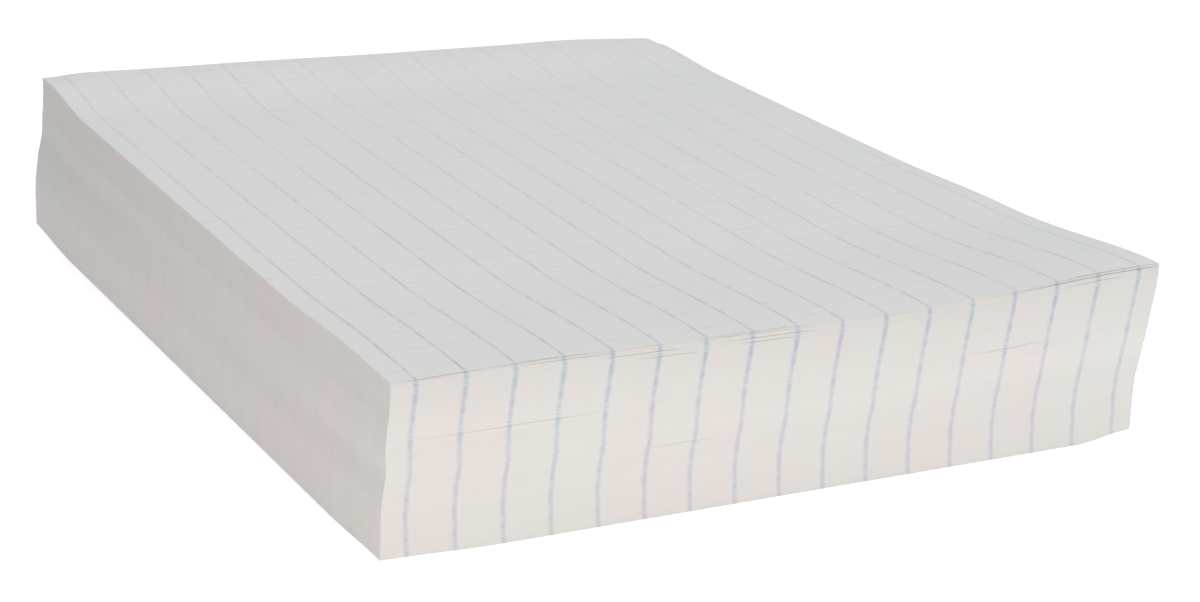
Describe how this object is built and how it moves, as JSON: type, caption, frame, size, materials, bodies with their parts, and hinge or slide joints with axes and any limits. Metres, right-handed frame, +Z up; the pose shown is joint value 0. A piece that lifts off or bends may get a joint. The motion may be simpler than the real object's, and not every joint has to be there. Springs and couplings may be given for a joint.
{
  "type": "stack of graph paper",
  "caption": "Loose stack of letter-size graph paper ruled in half-inch squares, leaning a little, with curled corners and loose sheets on top",
  "frame": {"origin": "middle of the underside of the lowest sheet, which rests on the table", "axes": "+X along the front short edge to the right, +Y along the long edge to the back, +Z up through the stack"},
  "size_m": [0.2183, 0.2851, 0.0506],
  "materials": {
    "paper_edges": "matte",
    "paper_face": "matte",
    "rule_print": "matte",
    "mark_print": "matte"
  },
  "bodies": {
    "root": {"lower_lift": "paper_edges", "second_lift": "paper_edges", "third_lift": "paper_edges", "upper_lift": "paper_edges", "loose_sheet_1": "paper_face", "loose_sheet_2": "paper_face", "loose_sheet_3": "paper_face", "loose_sheet_4": "paper_face", "top_sheet": "paper_face", "long_rules": "rule_print", "cross_rules": "rule_print", "end_marks": "mark_print", "side_marks": "mark_print"}
  },
  "joints": []
}
